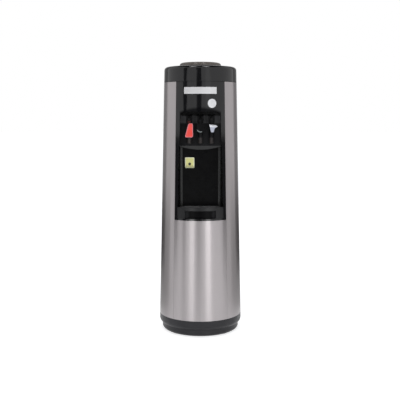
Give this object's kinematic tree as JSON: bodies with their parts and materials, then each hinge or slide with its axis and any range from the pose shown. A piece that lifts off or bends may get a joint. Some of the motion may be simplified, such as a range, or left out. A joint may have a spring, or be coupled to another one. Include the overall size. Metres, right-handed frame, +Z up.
{
  "type": "bottleless water cooler",
  "caption": "Tall round-fronted floor cooler fed from a supply line: tapered steel body on a black base, black front with an alcove, lever taps, pull-out drip tray, and a lift-off lid.",
  "frame": {"origin": "on the floor, under the middle of the cooler's bounding box, at the bottoms of the feet", "axes": "+Z up, the front with the taps faces -Y, +X to the right seen from the front"},
  "size_m": [0.325, 0.325, 1.0533],
  "materials": {
    "brushed steel": "fine level grain, satin",
    "rear panel": "satin grey paint",
    "base plastic": "satin black",
    "gloss black": "polished black",
    "liner black": "black, softly polished",
    "lid": "very dark brown, polished",
    "badge": "pale silver, satin",
    "label yellow": "pale yellow film",
    "rubber": "black, matt",
    "tap black": "black, softly polished",
    "hot red": "red, softly polished",
    "catch red": "dark red",
    "lever white": "cool white, softly polished",
    "bright steel": "bright turned steel",
    "plunger": "turned steel",
    "nut white": "natural nylon",
    "tank steel": "stainless sheet",
    "foam": "closed-cell foam",
    "copper": "drawn copper tube",
    "white plastic": "white moulding",
    "galvanised": "zinc-coated sheet",
    "heater": "heater band",
    "black metal": "black paint",
    "device black": "black moulding",
    "knob": "black moulding",
    "tube white": "natural tube",
    "rocker red": "red rocker",
    "rocker green": "green rocker"
  },
  "bodies": {
    "drip_tray": {"drip_tray": "gloss black"},
    "drip_grille": {"drip_grille": "base plastic"},
    "top_lid": {"top_lid": "lid"},
    "hot_lever": {"hot_lever": "hot red"},
    "hot_safety_catch": {"hot_safety_catch": "catch red"},
    "room_lever": {"room_lever": "tap black"},
    "cold_lever": {"cold_lever": "lever white"},
    "hot_plunger": {"hot_plunger": "plunger"},
    "room_plunger": {"room_plunger": "plunger"},
    "cold_plunger": {"cold_plunger": "plunger"},
    "float_arm": {"float_arm": "white plastic"},
    "hot_switch": {"hot_switch": "rocker red"},
    "cold_switch": {"cold_switch": "rocker green"},
    "thermostat_knob": {"thermostat_knob": "knob"},
    "drain_cap": {"drain_cap": "knob"},
    "cooler": {"base_ring": "base plastic", "base_pan": "galvanised", "rubber_feet": "rubber", "left_side_panel": "brushed steel", "right_side_panel": "brushed steel", "lower_front_panel": "brushed steel", "rear_panel": "rear panel", "front_fascia": "gloss black", "alcove_liner": "liner black", "tap_housing": "gloss black", "badge_plate": "badge", "yellow_label": "label yellow", "top_cap": "gloss black", "hot_tap_body": "tap black", "room_tap_body": "tap black", "cold_tap_body": "tap black", "lever_pins": "bright steel", "hot_spring": "bright steel", "room_spring": "bright steel", "cold_spring": "bright steel", "tap_nuts": "nut white", "cold_tank": "tank steel", "cold_tank_cover": "white plastic", "cold_tank_foam": "foam", "evaporator_coil": "copper", "baffle_disc": "white plastic", "float_valve": "white plastic", "tank_shelves": "galvanised", "hot_tank": "tank steel", "band_heater": "heater", "hot_tank_foam": "foam", "thermostats": "device black", "compressor": "black metal", "compressor_grommets": "rubber", "refrigerant_lines": "copper", "condenser": "black metal", "condenser_brackets": "device black", "filter_head": "white plastic", "filter_cartridges": "white plastic", "water_lines": "tube white", "water_inlet": "white plastic", "drain_outlet": "white plastic", "power_inlet": "device black", "switch_housings": "device black", "panel_screws": "bright steel"}
  },
  "joints": [
    {"name": "hot_lever_press", "type": "hinge", "parent": "cooler", "child": "hot_lever", "pos_m": [-0.042, -0.118, 0.8408], "axis": [1, 0, 0], "range_deg": [0, 10], "stiffness_Nm_per_rad": 0.6},
    {"name": "hot_plunger_lift", "type": "slide", "parent": "cooler", "child": "hot_plunger", "axis": [0, 0, 1], "range_m": [0, 0.0011], "deforming": ["hot_spring"]},
    {"name": "room_lever_press", "type": "hinge", "parent": "cooler", "child": "room_lever", "pos_m": [0, -0.118, 0.8408], "axis": [1, 0, 0], "range_deg": [0, 10], "stiffness_Nm_per_rad": 0.6},
    {"name": "room_plunger_lift", "type": "slide", "parent": "cooler", "child": "room_plunger", "axis": [0, 0, 1], "range_m": [0, 0.0011], "deforming": ["room_spring"]},
    {"name": "cold_lever_press", "type": "hinge", "parent": "cooler", "child": "cold_lever", "pos_m": [0.042, -0.118, 0.8408], "axis": [1, 0, 0], "range_deg": [0, 10], "stiffness_Nm_per_rad": 0.6},
    {"name": "cold_plunger_lift", "type": "slide", "parent": "cooler", "child": "cold_plunger", "axis": [0, 0, 1], "range_m": [0, 0.0011], "deforming": ["cold_spring"]},
    {"name": "hot_catch_slide", "type": "slide", "parent": "hot_lever", "child": "hot_safety_catch", "axis": [0, 0, -1], "range_m": [0, 0.003], "stiffness_N_per_m": 120},
    {"name": "drip_tray_slide", "type": "slide", "parent": "cooler", "child": "drip_tray", "axis": [0, -1, 0], "range_m": [0, 0.11]},
    {"name": "drip_grille_lift", "type": "slide", "parent": "drip_tray", "child": "drip_grille", "axis": [0, 0, 1], "range_m": [0, 0.04]},
    {"name": "top_lid_lift", "type": "slide", "parent": "cooler", "child": "top_lid", "axis": [0, 0, 1], "range_m": [0, 0.06]},
    {"name": "float_arm_drop", "type": "hinge", "parent": "cooler", "child": "float_arm", "pos_m": [-0.034, 0.0063, 0.958], "axis": [0, 1, 0], "range_deg": [0, 25]},
    {"name": "hot_switch_rock", "type": "hinge", "parent": "cooler", "child": "hot_switch", "pos_m": [-0.08186, 0.093, 0.916], "axis": [1, 0, 0], "range_deg": [-16, 0]},
    {"name": "cold_switch_rock", "type": "hinge", "parent": "cooler", "child": "cold_switch", "pos_m": [-0.08186, 0.093, 0.884], "axis": [1, 0, 0], "range_deg": [-16, 0]},
    {"name": "thermostat_knob_turn", "type": "hinge", "parent": "cooler", "child": "thermostat_knob", "pos_m": [0.08186, 0.1, 0.9], "axis": [0, 1, 0], "range_deg": [0, 270]},
    {"name": "drain_cap_pull", "type": "slide", "parent": "cooler", "child": "drain_cap", "axis": [0, 1, 0], "range_m": [0, 0.03]}
  ],
  "couplings": [
    {"joint": "hot_plunger_lift", "follows": "hot_lever_press", "m_per_rad": 0.006},
    {"joint": "room_plunger_lift", "follows": "room_lever_press", "m_per_rad": 0.006},
    {"joint": "cold_plunger_lift", "follows": "cold_lever_press", "m_per_rad": 0.006}
  ]
}
